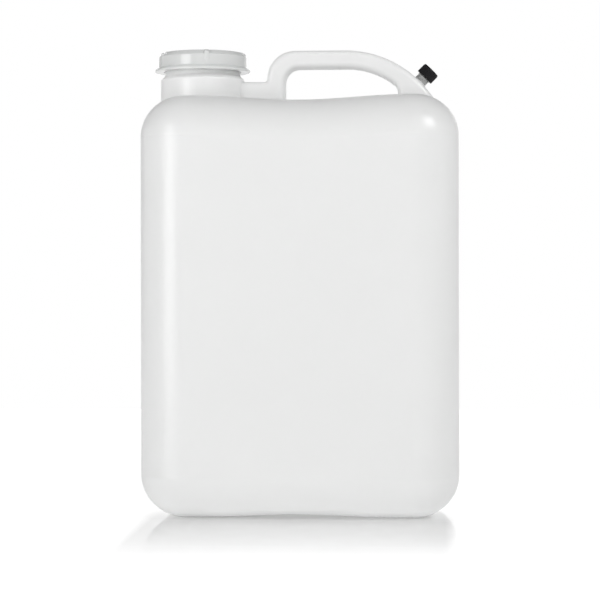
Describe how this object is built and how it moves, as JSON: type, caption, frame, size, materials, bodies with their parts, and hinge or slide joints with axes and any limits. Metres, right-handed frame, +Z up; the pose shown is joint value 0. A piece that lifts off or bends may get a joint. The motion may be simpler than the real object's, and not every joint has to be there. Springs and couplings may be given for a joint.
{
  "type": "tight head container",
  "caption": "Blow moulded five gallon tight head can with a hollow through handle, a wide screw cap and a small vent cap.",
  "frame": {"origin": "on the floor under the middle of the body", "axes": "+X across the width towards the vent, +Y towards the back, +Z up"},
  "size_m": [0.2874, 0.2, 0.4249],
  "materials": {
    "container": "satin, milky natural polyethylene",
    "screw_cap": "glossy natural polypropylene",
    "seal": "matt closed cell foam",
    "vent_cap": "satin black"
  },
  "bodies": {
    "container": {"container": "container"},
    "cap_gasket": {"cap_gasket": "seal"},
    "screw_cap": {"screw_cap": "screw_cap"},
    "vent_liner": {"vent_liner": "seal"},
    "vent_cap": {"vent_cap": "vent_cap"}
  },
  "joints": [
    {"name": "cap_lift", "type": "slide", "parent": "container", "child": "cap_gasket", "axis": [0, 0, 1], "range_m": [0, 0.015]},
    {"name": "cap_turn", "type": "hinge", "parent": "cap_gasket", "child": "screw_cap", "pos_m": [-0.09345, 0, 0.41], "axis": [0, 0, 1], "range_deg": [0, 900]},
    {"name": "vent_lift", "type": "slide", "parent": "container", "child": "vent_liner", "axis": [0.7071, 0, 0.7071], "range_m": [0, 0.0075]},
    {"name": "vent_turn", "type": "hinge", "parent": "vent_liner", "child": "vent_cap", "pos_m": [0.10825, 0, 0.3962], "axis": [0.7071, 0, 0.7071], "range_deg": [0, 1080.5]}
  ],
  "couplings": [
    {"joint": "cap_lift", "follows": "cap_turn", "m_per_rad": 0.00095492},
    {"joint": "vent_turn", "follows": "vent_lift", "rad_per_m": 2513.3}
  ]
}
